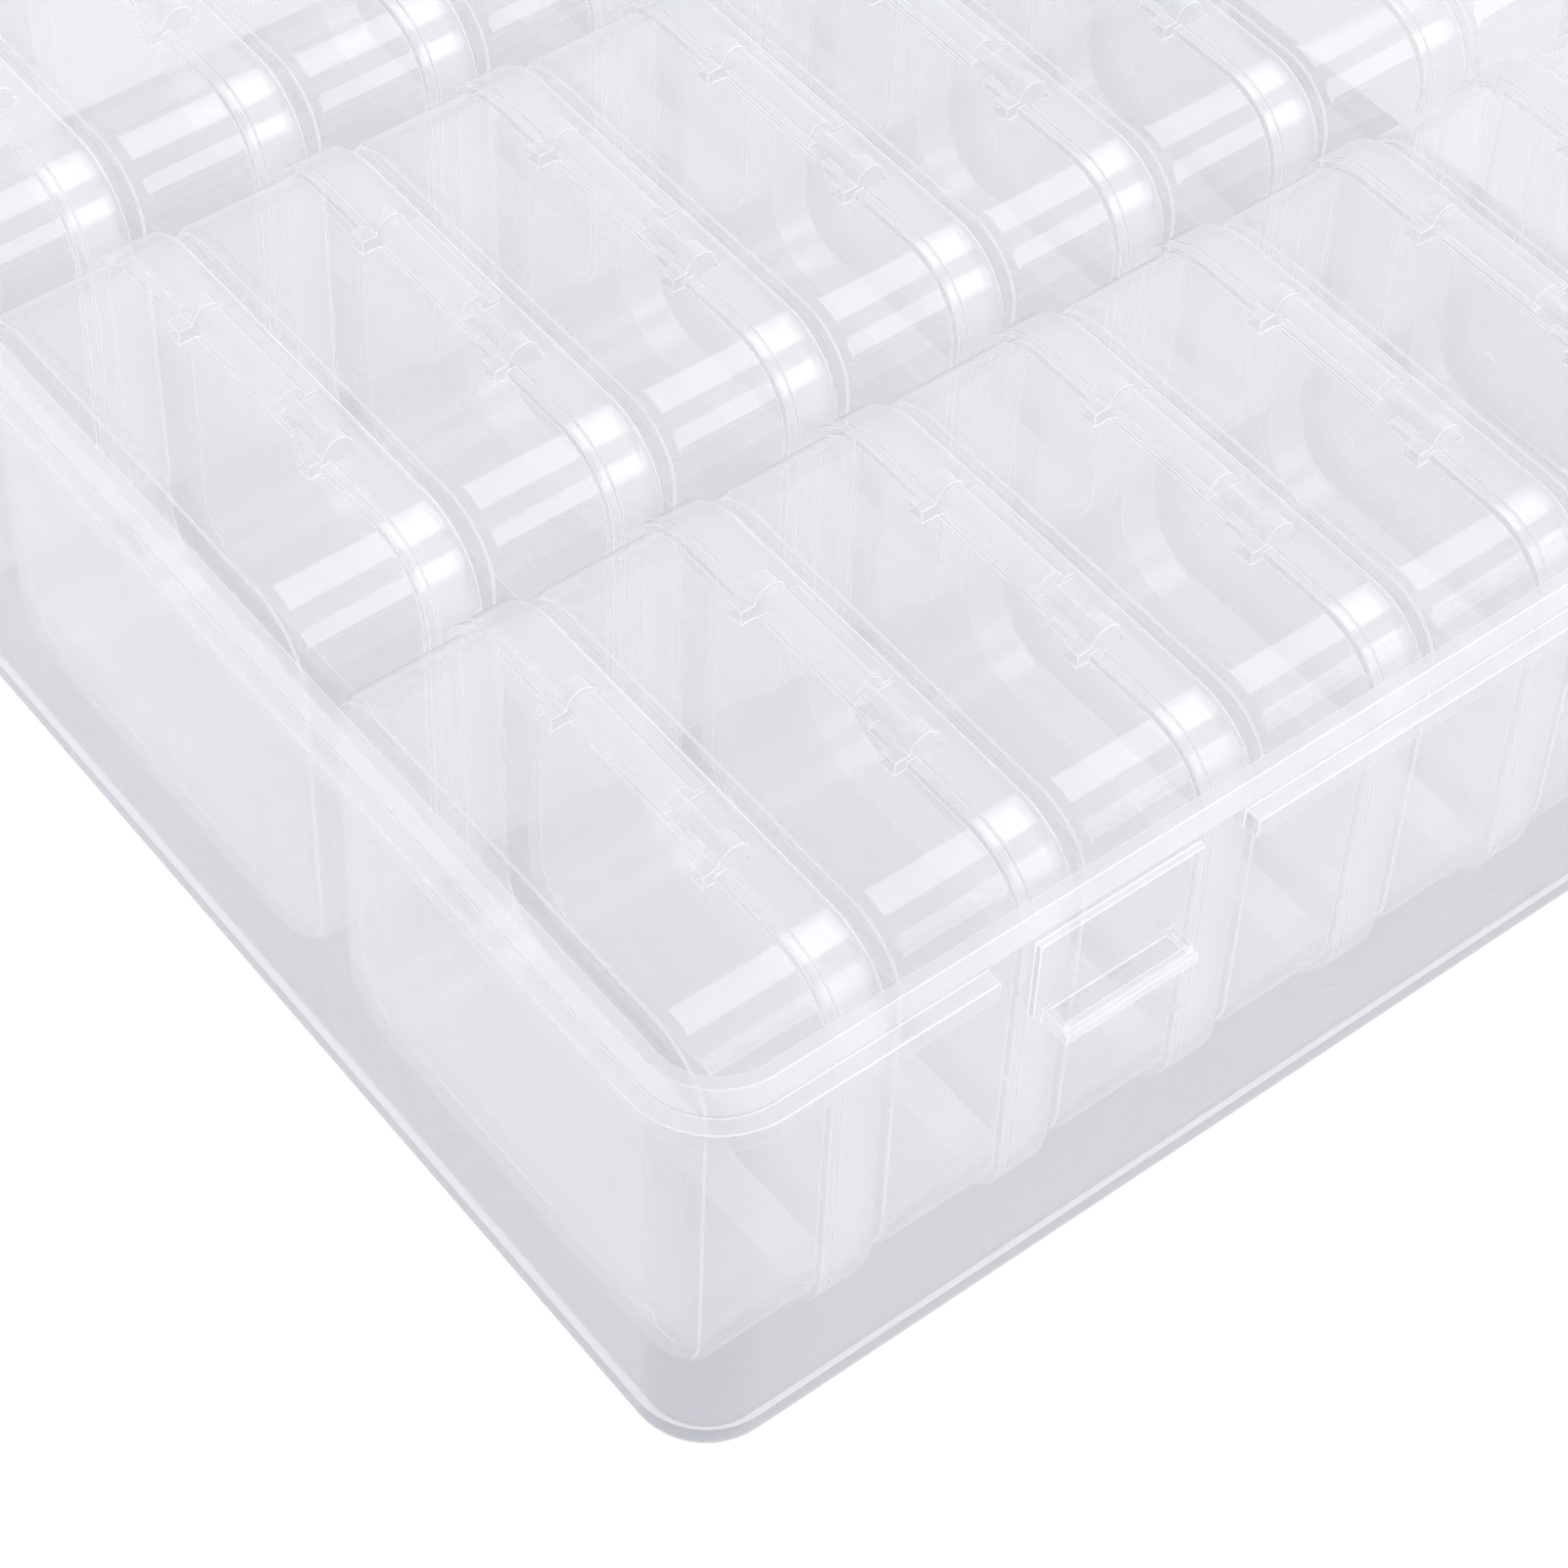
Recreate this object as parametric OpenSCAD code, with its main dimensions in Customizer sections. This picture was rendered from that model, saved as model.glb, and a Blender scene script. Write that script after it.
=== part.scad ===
// Bead organizer: an open storage tray with a hinged, latched case lid, packed with small
// flip-lid containers that stand on their long edge with the hinge side up.
// Frame: origin at the middle of the tray's underside, +X along the latch wall,
// the latch wall faces -Y, +Z up. Millimetres.

/* [Containers] */
// Containers along the latch wall
columns = 8; // [4:1:8]
// Rows of containers from front to back
rows = 3; // [1:1:3]
// Length of one container, along the tray's depth
box_long = 63; // [56:0.5:80]
// Height of one container as it stands, without its hinge
box_high = 55.5; // [48:0.5:56]
// Thickness of one closed container
box_thick = 22.2; // [19:0.1:28]
// Corner radius of a container's outline
box_corner = 9.5; // [7:0.5:12]
// Wall of a container
box_wall = 1.2; // [0.9:0.1:1.6]
// Radius of the edge round a container's floor
floor_edge = 2.6; // [2:0.1:3.5]
// Gap between neighbouring containers in a row
column_gap = 0.8; // [0.6:0.1:2]
// Gap between rows of containers
row_gap = 2.5; // [2:0.1:6]

/* [Container hinge] */
// Distance between the two ears of a container's hinge
ear_apart = 24; // [20:0.5:30]
// Thickness of one hinge ear
ear_thick = 2.2; // [1.6:0.1:3]
// Radius of a hinge ear
ear_radius = 1.9; // [1.7:0.1:2.4]
// Radius of the thin rod between the ears
rod_radius = 0.9; // [0.7:0.05:1.1]
// Length of the sleeve on the lid that clips over the rod
sleeve_long = 15; // [10:0.5:17]

/* [Tray] */
// Gap from the containers to the side walls
side_gap = 3.3; // [2:0.1:6]
// Gap from the containers to the front and back walls
end_gap = 3.4; // [2:0.1:6]
// Wall and floor of the tray
tray_wall = 1.6; // [1.2:0.1:2.4]
// Height of the tray over all
tray_high = 60.8; // [60.2:0.1:70]
// Corner radius of the tray
tray_corner = 8.5; // [7:0.5:11]
// Radius of the edge round the tray's underside
foot_edge = 2.4; // [1.8:0.1:4]
// Height of the bare collar that the case lid slips over
collar_high = 4.3; // [4:0.1:8]
// Height of the ledge round the tray
ledge_high = 2.5; // [2.4:0.1:5]
// How far the ledge stands out
ledge_out = 1.9; // [1.8:0.1:4]

/* [Latches] */
// Distance of each latch from the middle of the latch wall
latch_at = 47; // [30:0.5:55]
// Width of the gap in the ledge at a latch
latch_gap = 32; // [26:0.5:40]
// Width of the catch on the tray
catch_wide = 16.6; // [12:0.2:20]
// Height of the catch above the underside
catch_at = 43; // [32:0.2:46]
// How far the catch stands out of the wall
catch_out = 2.9; // [2.2:0.1:4]
// Width of a latch
latch_wide = 21; // [18:0.5:24]

/* [Case lid] */
// Wall and top of the case lid
lid_wall = 1.5; // [1.2:0.1:2.4]
// How far the case lid stands open at rest
lid_open = 105; // [90:1:115]
// Distance of each case hinge from the middle
hinge_at = 58; // [30:1:70]
// Width of the barrel in each case hinge
barrel_wide = 16; // [10:1:24]

/* [Hidden] */
fine = 48;
running = 0.06;                       // radial clearance of a peg or rod in its bore
slip = 0.3;                           // clearance between faces that slide past
pitch_x = box_thick + column_gap;
pitch_y = box_long + row_gap;
pack_x = columns * box_thick + (columns - 1) * column_gap;
pack_y = rows * box_long + (rows - 1) * row_gap;
in_x = pack_x + 2 * side_gap;         // inside of the tray
in_y = pack_y + 2 * end_gap;
out_x = in_x + 2 * tray_wall;         // outside of the tray's walls
out_y = in_y + 2 * tray_wall;
ledge_top = tray_high - collar_high;
ledge_low = ledge_top - ledge_high;
stand_at = tray_wall + 0.1;           // underside of the standing containers
skirt = 1.1;                          // skirt of a container lid
rim_in = 1.0;                         // body of a container inside its rim
neck_in = skirt + slip;               // neck of a container inside the lid's outline
rim_at = 15.0 / 22.2 * box_thick;     // underside of the rim on a container
rim_thick = 1.1;
neck_top = box_thick - box_wall - slip;
axis_up = 0.7;                        // rod above the outline's top edge
axis_in = 5.1;                        // rod behind the lid's outer face
rod_z = box_thick - axis_in;
rod_y = box_high + axis_up;
sleeve_mid = ear_apart / 2 - ear_thick / 2 - slip - sleeve_long / 2;
rim_end = 4.8;                        // rim that runs on past the near ear
// case lid, closed
skirt_low = ledge_top + slip;
case_top = tray_high + 4.1;
case_x = out_x + 2 * ledge_out;
case_y = out_y + 2 * ledge_out;
case_r = tray_corner + ledge_out;
// case hinge
hinge_r = 3.2;
peg_r = 1.5;
hinge_y = case_y / 2 + 4.3;
hinge_z = ledge_top - 1.1;
ear_w = 4;
arm_wide = barrel_wide - 1;
// latch hinge
pivot_r = 2.4;
pivot_peg = 1.1;
pivot_y = -case_y / 2 - 2.6;
pivot_z = ledge_top + 4.9;
pivot_wide = 14;
pivot_ear = 3;

spots = [for (r = [1 : rows]) for (c = [1 : columns]) [r, c]];
$fn = fine;

// ---- shared shapes ----

// flat outline with round corners, centred
module outline(a, b, r) {
    square([a, b - 2 * r], center = true);
    square([a - 2 * r, b], center = true);
    for (i = [-1, 1], j = [-1, 1]) translate([i * (a / 2 - r), j * (b / 2 - r)]) circle(r);
}

module slab(a, b, r, h) { linear_extrude(h) outline(a, b, r); }

// half section of a wall that rises from a round floor edge
module edge_section(w, h, e) {
    square([w - e, h]);
    translate([0, e]) square([w, h - e]);
    translate([w - e, e]) circle(e);
}

// block with round corners and a round edge at its foot, centred on X and Y
module pan(a, b, r, h, e) {
    cube_x = a - 2 * r;
    cube_y = b - 2 * r;
    translate([-cube_x / 2, -cube_y / 2, 0]) cube([cube_x, cube_y, h]);
    for (k = [0, 1]) rotate([0, 0, 180 * k]) {
        translate([cube_x / 2, cube_y / 2, 0]) rotate([90, 0, 0])
            linear_extrude(cube_y) edge_section(r, h, e);
        translate([-cube_x / 2, cube_y / 2, 0]) rotate([90, 0, 90])
            linear_extrude(cube_x) edge_section(r, h, e);
        translate([cube_x / 2, cube_y / 2, 0])
            rotate_extrude(angle = 90) edge_section(r, h, e);
        translate([-cube_x / 2, cube_y / 2, 0]) rotate([0, 0, 90])
            rotate_extrude(angle = 90) edge_section(r, h, e);
    }
}

// round bar along X
module bar(r, long) { rotate([0, 90, 0]) cylinder(r = r, h = long, center = true); }

// ---- one container, lying on its floor with the hinge at +Y ----

module base_body() {
    body_x = box_long - 2 * rim_in;
    body_y = box_high - 2 * rim_in;
    difference() {
        union() {
            translate([0, box_high / 2, 0]) {
                pan(body_x, body_y, box_corner - rim_in, rim_at + 0.5, floor_edge);
                // neck that the lid closes over
                translate([0, 0, rim_at])
                    slab(box_long - 2 * neck_in, box_high - 2 * neck_in,
                        box_corner - neck_in, neck_top - rim_at);
                // rim, left out at the hinge
                translate([0, 0, rim_at]) difference() {
                    slab(box_long, box_high, box_corner, rim_thick);
                    translate([-ear_apart / 2 + rim_end, box_high / 2 - rim_in - 0.2, -1])
                        cube([ear_apart - rim_end - ear_thick / 2, 4, 4]);
                }
                // small round feet on the floor's outside
                for (i = [-1, 1], j = [-1, 1])
                    translate([i * (body_x / 2 - 7), j * (body_y / 2 - 7), -0.25])
                        cylinder(r = 0.9, h = 1);
            }
            // hinge ears
            for (i = [-1, 1]) translate([i * ear_apart / 2, 0, 0]) {
                translate([0, rod_y, rod_z]) bar(ear_radius, ear_thick);
                translate([-ear_thick / 2, box_high - 3, rim_at - 1.6])
                    cube([ear_thick, 3 + axis_up, 3.4]);
            }
            // thin rod between the ears
            translate([0, rod_y, rod_z]) bar(rod_radius, ear_apart);
        }
        // hollow
        translate([0, box_high / 2, box_wall])
            pan(body_x - 2 * box_wall, body_y - 2 * box_wall,
                box_corner - rim_in - box_wall, box_thick, floor_edge - box_wall);
    }
}

module flip_lid_body() {
    notch = ear_thick + 2 * slip + 0.2;
    difference() {
        translate([0, box_high / 2, 0]) difference() {
            translate([0, 0, box_thick]) mirror([0, 0, 1])
                pan(box_long, box_high, box_corner, box_thick - rim_at - rim_thick - slip, 1.6);
            translate([0, 0, rim_at])
                slab(box_long - 2 * skirt, box_high - 2 * skirt, box_corner - skirt,
                    box_thick - box_wall - rim_at);
        }
        // room for the two ears
        for (i = [-1, 1])
            translate([i * ear_apart / 2 - notch / 2, box_high - neck_in - 0.1, rim_at])
                cube([notch, 4, rod_z + ear_radius + slip - rim_at]);
        // room for the rod beside the sleeve
        translate([-ear_apart / 2, box_high - neck_in - 0.1, rim_at])
            cube([ear_apart, 4, rod_z + rod_radius + 0.3 - rim_at]);
    }
    // sleeve that clips over the rod, open below, with the web that carries it
    translate([sleeve_mid, 0, 0]) difference() {
        union() {
            translate([0, rod_y, rod_z]) bar(rod_radius + running + 0.85, sleeve_long);
            translate([-sleeve_long / 2, box_high - 0.9, rod_z])
                cube([sleeve_long, 0.9 + axis_up, 3.2]);
        }
        translate([0, rod_y, rod_z]) bar(rod_radius + running, sleeve_long + 2);
        translate([-sleeve_long, rod_y - 0.62, rod_z - 4]) cube([2 * sleeve_long, 1.24, 4]);
    }
}

// places a lying container as it stands in the tray: floor towards -X, hinge up
module stand(s) {
    translate([-pack_x / 2 + (s[1] - 1) * pitch_x,
               -pack_y / 2 + (s[0] - 1) * pitch_y + box_long / 2, stand_at])
        rotate([90, 0, 90]) children();
}

// ---- tray ----

module latch_catch() {
    // panel behind the latch, and the ledge that the latch hooks under
    wall = -out_y / 2;
    translate([-10.2, wall - 0.8, catch_at + 2.2]) cube([20.4, 1.2, ledge_low - catch_at - 0.2]);
    translate([-catch_wide / 2, wall - catch_out, catch_at - 0.6])
        cube([catch_wide, catch_out + 0.4, 1.2]);
    translate([0, wall - catch_out, catch_at]) bar(0.9, catch_wide);
    for (i = [-1, 1])
        translate([i * (catch_wide / 2 - 0.4) - 0.4, wall - catch_out, catch_at - 0.6])
            cube([0.8, catch_out + 0.4, 2.0]);
}

module tray_hinge() {
    for (i = [-1, 1]) difference() {
        union() {
            translate([i * (barrel_wide / 2 + slip + ear_w / 2), hinge_y, hinge_z])
                bar(hinge_r, ear_w);
            translate([i * (barrel_wide / 2 + slip + ear_w / 2) - ear_w / 2,
                       out_y / 2 - 0.6, hinge_z - hinge_r])
                cube([ear_w, hinge_y - out_y / 2 + 0.6, hinge_r + 0.6]);
        }
        translate([i * (barrel_wide / 2 + slip + ear_w / 2), hinge_y, hinge_z])
            bar(peg_r + running, ear_w + 2);
    }
}

module tray() {
    color([0.93, 0.94, 0.96, 0.45]) {
        difference() {
            union() {
                pan(out_x, out_y, tray_corner, tray_high, foot_edge);
                // ledge, open at the two latches
                difference() {
                    translate([0, 0, ledge_low])
                        slab(case_x, case_y, case_r, ledge_high);
                    for (i = [-1, 1])
                        translate([i * latch_at - latch_gap / 2, -case_y / 2 - 1, ledge_low - 1])
                            cube([latch_gap, ledge_out + 1.2, ledge_high + 2]);
                }
                for (i = [-1, 1]) translate([i * latch_at, 0, 0]) latch_catch();
                for (i = [-1, 1]) translate([i * hinge_at, 0, 0]) tray_hinge();
            }
            translate([0, 0, tray_wall])
                pan(in_x, in_y, tray_corner - tray_wall, tray_high, foot_edge - tray_wall);
        }
    }
}

// ---- case lid and its latches, drawn closed and then swung open ----

module swing_open() {
    translate([0, hinge_y, hinge_z]) rotate([-lid_open, 0, 0])
        translate([0, -hinge_y, -hinge_z]) children();
}

module case_lid() {
    color([0.95, 0.96, 0.98, 0.4]) {
        swing_open() {
            difference() {
                translate([0, 0, case_top]) mirror([0, 0, 1])
                    pan(case_x, case_y, case_r, case_top - skirt_low, 2);
                translate([0, 0, skirt_low - 1])
                    slab(case_x - 2 * lid_wall, case_y - 2 * lid_wall, case_r - lid_wall,
                        case_top - lid_wall - skirt_low + 1);
            }
            for (i = [-1, 1]) translate([i * hinge_at, 0, 0]) {
                // barrel, its two pegs and the arm to the skirt
                translate([0, hinge_y, hinge_z]) bar(hinge_r, barrel_wide);
                translate([0, hinge_y, hinge_z]) bar(peg_r, barrel_wide + 2 * ear_w - 0.6);
                translate([-arm_wide / 2, case_y / 2 - 1.2, skirt_low + 0.2])
                    cube([arm_wide, hinge_y - case_y / 2 + 1.2, 3.4]);
            }
            for (i = [-1, 1]) translate([i * latch_at, 0, 0]) latch_ears();
        }
        // heel that meets the ledge when the lid is open
        for (i = [-1, 1])
            translate([i * hinge_at - arm_wide / 2, case_y / 2 + slip, hinge_z - 1.2])
                cube([arm_wide, hinge_y - case_y / 2 - slip - 0.4, 2.4]);
    }
}

module latch_ears() {
    for (i = [-1, 1]) translate([i * (pivot_wide / 2 + slip + pivot_ear / 2), 0, 0])
        difference() {
            union() {
                translate([0, pivot_y, pivot_z]) bar(pivot_r, pivot_ear);
                translate([-pivot_ear / 2, pivot_y, pivot_z - pivot_r + 0.15])
                    cube([pivot_ear, -case_y / 2 - pivot_y + 0.6, 2 * pivot_r - 0.3]);
            }
            translate([0, pivot_y, pivot_z]) bar(pivot_peg + running, pivot_ear + 2);
        }
}

module latch_body() {
    hook_top = catch_at - 1.3;
    face = pivot_y - 1.45;
    difference() {
        union() {
            translate([0, pivot_y, pivot_z]) bar(pivot_r, pivot_wide);
            translate([0, pivot_y, pivot_z]) bar(pivot_peg, pivot_wide + 2 * pivot_ear - 0.4);
            // neck, plate, hook and thumb lip
            translate([-pivot_wide / 2, face, pivot_z - 4]) cube([pivot_wide, 1.8, 4]);
            translate([-latch_wide / 2, face, hook_top - 1.6])
                cube([latch_wide, 1.8, pivot_z - 3.1 - hook_top + 1.6]);
            translate([-latch_wide / 2 + 1.5, face, hook_top - 1.6])
                cube([latch_wide - 3, 5.0, 1.6]);
            translate([-latch_wide / 2, face - 1.6, hook_top - 3.4])
                cube([latch_wide, 2.6, 1.9]);
        }
        // rounded sides at the foot of the plate
        for (i = [-1, 1]) translate([i * latch_wide / 2, face - 3, hook_top - 3.4])
            rotate([-90, 0, 0]) cylinder(r = 1.6, h = 12);
    }
}

module latch(side) {
    color([0.9, 0.91, 0.93, 0.5])
        swing_open() translate([side * latch_at, 0, 0]) latch_body();
}

module base(s) { color([0.96, 0.97, 0.98, 0.4]) stand(s) base_body(); }

module flip_lid(s) { color([0.97, 0.98, 1, 0.4]) stand(s) flip_lid_body(); }

tray();
case_lid();
latch(-1);  // latch_left
latch(1);  // latch_right
for (s = spots) {
    base(s);
    flip_lid(s);
}
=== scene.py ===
# Clear bead organizer: a storage tray with a hinged, latched case lid, packed with small
# flip-lid containers that stand on edge. Metres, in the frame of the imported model.
import math
import bmesh
import bpy
from mathutils import Matrix, Vector


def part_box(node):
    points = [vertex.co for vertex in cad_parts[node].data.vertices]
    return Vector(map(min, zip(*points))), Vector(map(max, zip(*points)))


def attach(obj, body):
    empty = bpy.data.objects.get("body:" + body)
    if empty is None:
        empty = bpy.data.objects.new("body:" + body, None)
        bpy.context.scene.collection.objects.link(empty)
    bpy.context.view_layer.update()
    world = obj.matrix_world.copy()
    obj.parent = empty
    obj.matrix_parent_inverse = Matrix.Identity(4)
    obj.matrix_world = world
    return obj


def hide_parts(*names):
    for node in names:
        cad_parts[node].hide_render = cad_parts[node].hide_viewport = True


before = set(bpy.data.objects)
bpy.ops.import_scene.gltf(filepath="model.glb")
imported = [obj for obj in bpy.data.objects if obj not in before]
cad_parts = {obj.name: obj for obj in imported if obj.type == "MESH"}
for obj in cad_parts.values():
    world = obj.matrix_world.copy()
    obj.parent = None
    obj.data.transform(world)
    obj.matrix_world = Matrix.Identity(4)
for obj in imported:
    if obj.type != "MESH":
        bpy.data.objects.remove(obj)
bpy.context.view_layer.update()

scene = bpy.context.scene

# ---- Camera ----
# A long lens close over the tray's near corner, as in the photograph, which shows only
# that corner and so cuts off three sides of the case.
camera = bpy.data.objects.new("camera", bpy.data.cameras.new("camera"))
scene.collection.objects.link(camera)
camera.data.lens = 100.9
camera.data.shift_x = -0.0086
camera.data.shift_y = -0.1325
camera.data.clip_start = 0.01
camera.location = (-0.23714, -0.27776, 0.37856)
camera.rotation_euler = [math.radians(turn) for turn in (42.4058, -1.8984, -38.1762)]
scene.camera = camera
scene.view_settings.view_transform = "Standard"
# a look through all the containers passes more than a hundred thin walls, and light that
# has met the milk in one of them is soft enough after few bounces
scene.cycles.transparent_max_bounces = 128
scene.cycles.max_bounces = 4
scene.cycles.diffuse_bounces = 1
scene.cycles.glossy_bounces = 2


# ---- Table top and studio ----
# White sweep paper in a bright room with a big overhead softbox and a weaker one in front.
# The sweep is seen white where a look or a gloss meets it, and keeps the case's soft shadow.
def linear(colour, alpha=1.0):
    """An sRGB hex colour as the linear values that a shader takes."""
    parts = [int(colour[i:i + 2], 16) / 255 for i in (1, 3, 5)]
    return [c / 12.92 if c <= 0.04045 else ((c + 0.055) / 1.055) ** 2.4 for c in parts] + [alpha]


def add(tree, kind, settings=(), links=()):
    """One more node, with values for its sockets or properties and links into them."""
    node = tree.nodes.new(kind)
    for name, value in dict(settings).items():
        if isinstance(name, int) or name in node.inputs:
            node.inputs[name].default_value = value
        else:
            setattr(node, name, value)
    for name, source in dict(links).items():
        tree.links.new(source, node.inputs[name])
    return node


def fresh_material(name):
    """An empty node material, its tree and its output node."""
    material = bpy.data.materials.new(name)
    material.use_nodes = True
    material.node_tree.nodes.clear()
    return material, material.node_tree, add(material.node_tree, "ShaderNodeOutputMaterial")


def seen_in_gloss(tree, path):
    """1 for a ray that a gloss or a glass sends out, else 0."""
    return add(tree, "ShaderNodeMath", {"operation": "MAXIMUM"},
               {0: path.outputs["Is Glossy Ray"], 1: path.outputs["Is Transmission Ray"]})


sweep_paper, tree, out = fresh_material("white sweep paper")
paper = add(tree, "ShaderNodeBsdfDiffuse", {"Color": linear("#F4F4F6")})
glow = add(tree, "ShaderNodeEmission", {"Color": (1, 1, 1, 1), "Strength": 1.1})
path = add(tree, "ShaderNodeLightPath")
# 1 where nothing clear stands before the paper, so that it keeps its grey inside the case
bare = add(tree, "ShaderNodeMath", {"operation": "LESS_THAN", 1: 0.5},
           {0: path.outputs["Transparent Depth"]})
bare = add(tree, "ShaderNodeMath", {"operation": "MULTIPLY"},
           {0: path.outputs["Is Camera Ray"], 1: bare.outputs[0]})
seen = add(tree, "ShaderNodeMath", {"operation": "MAXIMUM"},
           {0: bare.outputs[0], 1: seen_in_gloss(tree, path).outputs[0]})
# the rest is the paper's own light, which carries the shadow
share = add(tree, "ShaderNodeMath", {"operation": "MULTIPLY", 1: 0.7}, {0: seen.outputs[0]})
lit = add(tree, "ShaderNodeMixShader", {},
          {0: share.outputs[0], 1: paper.outputs[0], 2: glow.outputs[0]})
tree.links.new(lit.outputs[0], out.inputs[0])

half_sweep = 4.0
under_tray = 0.0002  # a hair below the tray's underside, so the two faces don't flicker
sweep_shape = bmesh.new()
bmesh.ops.create_grid(sweep_shape, x_segments=1, y_segments=1, size=half_sweep)
bmesh.ops.translate(sweep_shape, verts=sweep_shape.verts, vec=(0, 0, -under_tray))
sweep_mesh = bpy.data.meshes.new("table_top")
sweep_shape.to_mesh(sweep_mesh)
sweep_shape.free()
sweep_mesh.materials.append(sweep_paper)
sweep = bpy.data.objects.new("table_top", sweep_mesh)
scene.collection.objects.link(sweep)

# the room is brighter in front and to the right, so the tray's left wall is greyer
scene.world = bpy.data.worlds.new("studio")
scene.world.use_nodes = True
tree = scene.world.node_tree
tree.nodes.clear()
out = add(tree, "ShaderNodeOutputWorld")
way = add(tree, "ShaderNodeTexCoord")
bright_side, swing, mean_level = (0.75, -0.7, 0.0), 0.66, 1.07
lean = add(tree, "ShaderNodeVectorMath", {"operation": "DOT_PRODUCT", 1: bright_side},
           {0: way.outputs["Generated"]})
level = add(tree, "ShaderNodeMath", {"operation": "MULTIPLY_ADD", 1: swing, 2: mean_level},
            {0: lean.outputs["Value"]})
room = add(tree, "ShaderNodeBackground", {"Color": linear("#FAFAFC")},
           {"Strength": level.outputs[0]})
white = add(tree, "ShaderNodeBackground", {"Color": (1, 1, 1, 1), "Strength": 1.0})
path = add(tree, "ShaderNodeLightPath")
seen = add(tree, "ShaderNodeMath", {"operation": "MAXIMUM"},
           {0: path.outputs["Is Camera Ray"], 1: seen_in_gloss(tree, path).outputs[0]})
both = add(tree, "ShaderNodeMixShader", {},
           {0: seen.outputs[0], 1: room.outputs[0], 2: white.outputs[0]})
tree.links.new(both.outputs[0], out.inputs[0])


def softbox(name, centre, towards, wide, high, radiance):
    """A rectangular area light of that even radiance, aimed at a point."""
    lamp = bpy.data.lights.new(name, "AREA")
    lamp.shape = "RECTANGLE"
    lamp.size, lamp.size_y = wide, high
    lamp.energy = radiance * math.pi * wide * high
    body = bpy.data.objects.new(name, lamp)
    body.location = centre
    body.rotation_euler = (Vector(towards) - Vector(centre)).to_track_quat("-Z", "Y").to_euler()
    scene.collection.objects.link(body)


softbox("overhead_softbox", centre=(1.05, 0.12, 2.2), towards=(1.05, 0.12, 0),
        wide=1.2, high=1.7, radiance=1.4)
softbox("front_softbox", centre=(1.1, -2.1, 1.2), towards=(0, 0, 0.05),
        wide=1.8, high=1.1, radiance=1.3)


# ---- Containers ----
# Twenty-four flip-lid containers that stand on edge, hinge side up: injection moulded clear
# polypropylene, whose polished walls let most light through with a faint milky haze, and
# look whiter at rims and hinge parts, where the plastic is thick; the white along their edges
# and on their upward upper faces is painted light.
def clear_plastic(name, milkiness, gloss, clear_colour, edge_colour, milk_colour,
                  shadow_colour="#FAFAFB"):
    """Each wall is shaded once, where a look enters it, and is left where it comes out."""
    material, tree, out = fresh_material(name)
    place = add(tree, "ShaderNodeTexCoord")
    # flow marks of the mould, some 15 mm across, vary the haze by a tenth
    marks_per_metre = 60.0
    cloud = add(tree, "ShaderNodeTexNoise", {"Scale": marks_per_metre, "Detail": 1.0},
                {"Vector": place.outputs["Object"]})
    share = add(tree, "ShaderNodeMapRange",
                {"From Min": 0.3, "From Max": 0.7,
                 "To Min": milkiness * 0.9, "To Max": milkiness * 1.1},
                {"Value": cloud.outputs["Fac"]})
    # a slanting look goes further through the wall, so it meets more colour and more milk
    slant = add(tree, "ShaderNodeLayerWeight", {"Blend": 0.5})
    longer = add(tree, "ShaderNodeMath", {"operation": "POWER", 1: 6.0},
                 {0: slant.outputs["Facing"]})
    depth = add(tree, "ShaderNodeMix",
                {"data_type": "RGBA", 6: linear(clear_colour), 7: linear(edge_colour)},
                {0: longer.outputs[0]})
    clear = add(tree, "ShaderNodeBsdfTransparent", {}, {"Color": depth.outputs[2]})
    front = add(tree, "ShaderNodeBsdfDiffuse", {"Color": linear(milk_colour)})
    back = add(tree, "ShaderNodeBsdfTranslucent", {"Color": linear(milk_colour)})
    milk = add(tree, "ShaderNodeMixShader", {0: 0.5}, {1: front.outputs[0], 2: back.outputs[0]})
    slant_milk = 0.55
    thick = add(tree, "ShaderNodeMath", {"operation": "POWER", 1: 4.0},
                {0: slant.outputs["Facing"]})
    thick = add(tree, "ShaderNodeMath",
                {"operation": "MULTIPLY_ADD", 1: slant_milk, "use_clamp": True},
                {0: thick.outputs[0], 2: share.outputs[0]})
    wall = add(tree, "ShaderNodeMixShader", {},
               {0: thick.outputs[0], 1: clear.outputs[0], 2: milk.outputs[0]})
    # the polished skin mirrors a little from straight on and nearly all at a graze
    straight_glint = 0.08
    steep = add(tree, "ShaderNodeMath", {"operation": "POWER", 1: 5.0},
                {0: slant.outputs["Facing"]})
    glint = add(tree, "ShaderNodeMath",
                {"operation": "MULTIPLY_ADD", 1: 1 - straight_glint, 2: straight_glint},
                {0: steep.outputs[0]})
    shine = add(tree, "ShaderNodeBsdfGlossy", {"Color": (1, 1, 1, 1), "Roughness": gloss})
    skin = add(tree, "ShaderNodeMixShader", {},
               {0: glint.outputs[0], 1: wall.outputs[0], 2: shine.outputs[0]})
    side = add(tree, "ShaderNodeNewGeometry")
    leaving = add(tree, "ShaderNodeBsdfTransparent", {"Color": (1, 1, 1, 1)})
    whole = add(tree, "ShaderNodeMixShader", {},
                {0: side.outputs["Backfacing"], 1: skin.outputs[0], 2: leaving.outputs[0]})
    # milky plastic sends most light on, so its shadow is faint
    path = add(tree, "ShaderNodeLightPath")
    dim = add(tree, "ShaderNodeBsdfTransparent", {"Color": linear(shadow_colour)})
    whole = add(tree, "ShaderNodeMixShader", {},
                {0: path.outputs["Is Shadow Ray"], 1: whole.outputs[0], 2: dim.outputs[0]})
    tree.links.new(whole.outputs[0], out.inputs[0])
    return material
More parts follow.
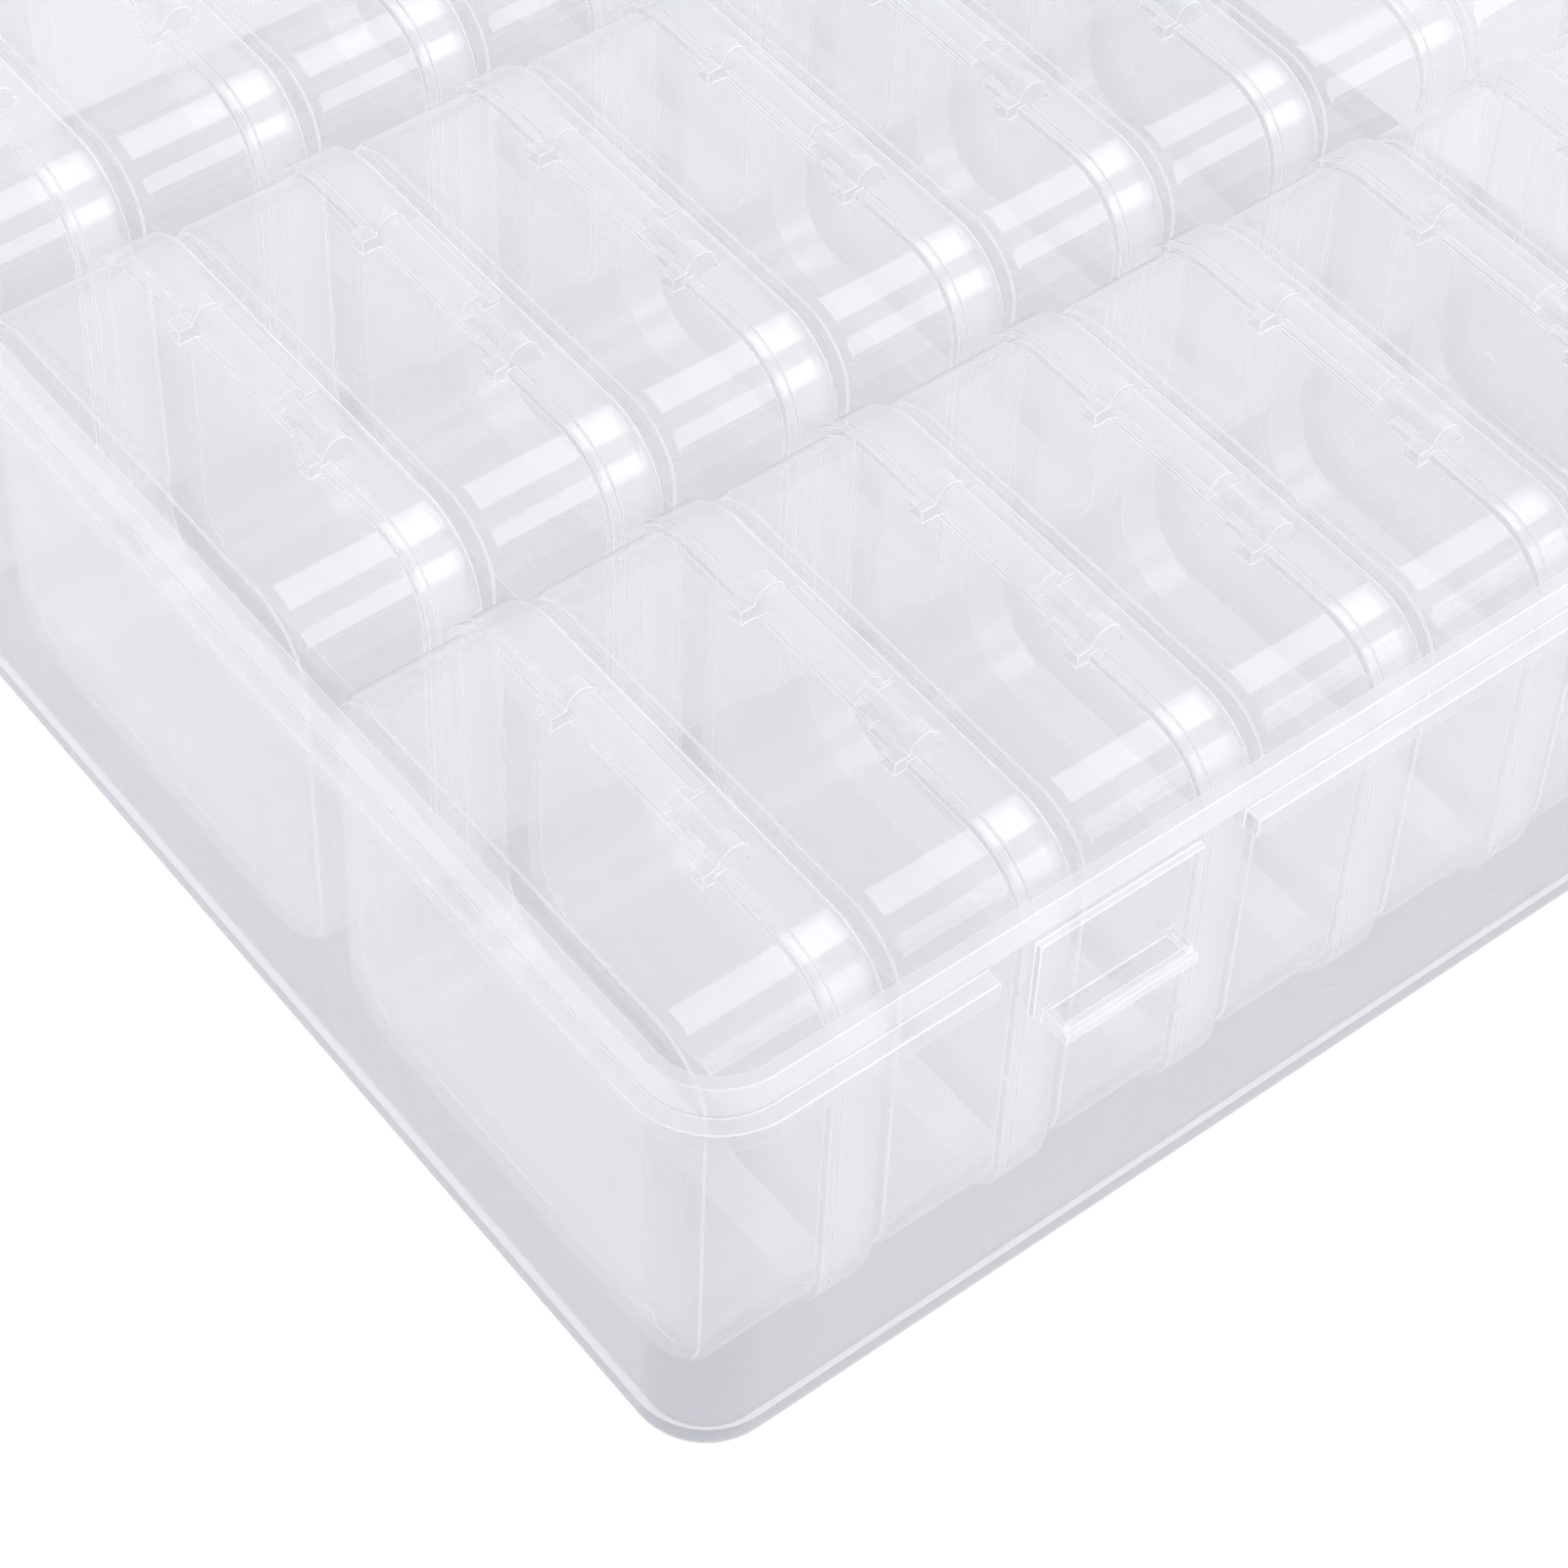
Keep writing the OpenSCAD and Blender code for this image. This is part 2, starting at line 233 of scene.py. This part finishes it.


# the mould is polished outside the containers and plainer inside, and the more plastic a
# look meets, at a rim or hinge, the milkier it is; the near-white milk on the eased edges is
# painted highlight
base_plastic = clear_plastic("clear polypropylene, polished mould", 0.15, 0.05,
                             "#FFFFFF", "#E6E8ED", "#FCFCFD")
flip_plastic = clear_plastic("clear polypropylene, moulded lid", 0.15, 0.17,
                             "#FFFFFF", "#E6E8ED", "#FCFCFD")
inner_plastic = clear_plastic("clear polypropylene, inside face", 0.15, 0.25,
                              "#FFFFFF", "#E6E8ED", "#FCFCFD")
# painted light: upward faces of the upper half get more and whiter milk, so the top looks lit
# from above
painted_top_light_plastic = clear_plastic("clear polypropylene, upper wall, painted light", 0.22, 0.12,
                            "#FEFEFE", "#D6D8DC", "#FFFFFF")
thick_plastic = clear_plastic("clear polypropylene, thick places", 0.33, 0.12,
                              "#FEFEFE", "#D6D8DC", "#F0F1F3")
# painted highlight: eased edges get near-white milk, a painted line of light along each edge
edge_highlight_plastic = clear_plastic("clear polypropylene, edges, painted highlight", 0.7, 0.08,
                             "#FEFEFE", "#D6D8DC", "#FFFFFF")
# the places of a piece's materials
wall_place, edge_highlight_place, thick_place, inner_place, painted_top_light_place = range(5)


def moulded(node, edge, finish=lambda centre, normal: wall_place, cut_heights=()):
    """A mesh of a CAD node with eased edges; finish gives a face the place of its material."""
    shape = bmesh.new()
    shape.from_mesh(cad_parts[node].data)
    bmesh.ops.remove_doubles(shape, verts=shape.verts, dist=2e-6)
    bmesh.ops.dissolve_limit(shape, angle_limit=math.radians(0.4), verts=shape.verts,
                             edges=shape.edges)
    sharp = [e for e in shape.edges if e.is_manifold and e.calc_face_angle() > math.radians(40)]
    eased = bmesh.ops.bevel(shape, geom=sharp, offset=edge, segments=2, profile=0.5,
                            affect="EDGES", material=-1, clamp_overlap=True)
    eased = set(eased["faces"])
    for height in cut_heights:
        bmesh.ops.bisect_plane(shape, geom=shape.verts[:] + shape.edges[:] + shape.faces[:],
                               dist=1e-6, plane_co=(0, 0, height), plane_no=(0, 0, 1))
    shape.normal_update()
    # eased faces take the edge highlight plastic, a painted highlight
    for face in shape.faces:
        face.material_index = (edge_highlight_place if face in eased
                               else finish(face.calc_center_median(), face.normal))
    mesh = bpy.data.meshes.new(node + "_moulded")
    shape.to_mesh(mesh)
    shape.free()
    return mesh


def put(name, mesh, materials, body, node):
    """Makes the finished piece, which stands for its CAD node and moves with its body."""
    for material in materials:
        mesh.materials.append(material)
    mesh.shade_smooth()
    mesh.set_sharp_from_angle(angle=math.radians(38))
    piece = bpy.data.objects.new(name, mesh)
    scene.collection.objects.link(piece)
    flat = piece.modifiers.new("flat faces stay flat", "WEIGHTED_NORMAL")
    flat.keep_sharp = True
    flat.weight = 100
    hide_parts(node)
    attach(piece, body)
    return piece


first_low, first_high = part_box("base_11")[0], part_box("flip_lid_11")[1]
container_high = 0.0555
container_top = first_low.z + container_high + 0.00005
rim_start = first_low.x + 0.0149
middle = (first_low + first_high) / 2


def container_finish(centre, normal):
    """Hinge parts are thick; a painted highlight, a strip of near-white milk, runs along each
    rounded edge, and upward faces in the upper half are painted lighter.
    """
    if centre.z > container_top:
        return thick_place
    # painted highlight: this strip is made milky white to stand for the line of light on the
    # rounding
    if 0.58 < abs(normal.x) < 0.62:  # one strip of the rounding, about 37 degrees round it
        return edge_highlight_place
    # upward faces of the upper half take the painted top light
    if normal.z > 0.7 and centre.z > middle.z:
        return painted_top_light_place
    return inner_place if (centre - middle).dot(normal) < -0.001 else wall_place


def base_finish(centre, normal):
    """The rim that the lid closes on is thick too, all round."""
    outside = (centre - middle).dot(normal) > 0
    on_rim = abs(normal.x) < 0.4 and centre.x > rim_start and outside
    return thick_place if on_rim else container_finish(centre, normal)


def flip_finish(centre, normal):
    """The lid's skirt is seen edge on, and is as milky as the hinge."""
    return thick_place if abs(normal.x) < 0.4 else container_finish(centre, normal)


base_mesh = moulded("base_11", 0.0003, base_finish)
flip_mesh = moulded("flip_lid_11", 0.0005, flip_finish)
for row in (1, 2, 3):
    for column in range(1, 9):
        spot = f"{row}{column}"
        step = Matrix.Translation(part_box("base_" + spot)[0] - first_low)
        for name, mesh, polish, node, slot in (
                ("box_", base_mesh, base_plastic, "base_", "container"),
                ("lid_", flip_mesh, flip_plastic, "flip_lid_", "flip_lid")):
            own = mesh.copy()
            own.transform(step)
            piece = put(name + spot, own,
                        (polish, edge_highlight_plastic, thick_plastic, inner_plastic, painted_top_light_plastic),
                        "container_" + spot, node + spot)
            # a stack of clear walls hardly shades itself, and rays stay few
            piece.visible_shadow = piece.visible_diffuse = piece.visible_glossy = False

# ---- Tray ----
# The outer case's bottom, one moulding of satin clear polypropylene with a collar over a
# ledge, two catches in front and hinge ears behind. Its floor is the thickest; its grey is
# painted shade that stands for the shadow on the table under the case.
tray_plastic = clear_plastic("clear polypropylene, satin mould", 0.2, 0.12,
                             "#F0F0F2", "#C8CACF", "#F8F8FA")
collar_plastic = clear_plastic("clear polypropylene, collar and catches", 0.33, 0.12,
                               "#FEFEFE", "#D6D8DC", "#FCFCFD")
# painted shade: the floor lets a look through far less than its shadow, so it stands for the
# shadow on the table beneath the tray
shaded_floor_plastic = clear_plastic("clear polypropylene, tray floor, painted shade", 0.14, 0.12,
                              "#B8BABF", "#B4B6BC", "#F6F6F8", "#E8E9EC")
shaded_floor_place = inner_place
collar_foot = 0.0569
ledge_height = 0.05  # an upward face above this is the ledge's or the collar's
catch_front = -0.10395  # only the two catches reach past the ledge's front
wall_foot = 0.0042  # below this a look through the wall meets the edge of the floor


def tray_finish(centre, normal):
    """The collar, the ledge's top and the catches are milkier, and the floor is greyer with
    painted shade.
    """
    on_ledge = centre.z > ledge_height and normal.z > 0.9
    if centre.z > collar_foot or on_ledge or centre.y < catch_front:
        return thick_place
    return shaded_floor_place if centre.z < wall_foot and normal.z > -0.5 else wall_place


put("storage_tray", moulded("tray", 0.0003, tray_finish, (wall_foot, collar_foot)),
    (tray_plastic, edge_highlight_plastic, collar_plastic, shaded_floor_plastic), "tray", "tray")

# ---- Case lid and latches ----
# The case's lid, open behind the tray, with hinge barrels at the back and a flip latch at
# each side of its front edge: the same satin clear polypropylene, moulded.
put("hinged_case_lid", moulded("case_lid", 0.0003), (tray_plastic, edge_highlight_plastic),
    "case_lid", "case_lid")
for side in ("left", "right"):
    put("clip_" + side, moulded("latch_" + side, 0.0003), (tray_plastic, edge_highlight_plastic),
        "latch_" + side, "latch_" + side)
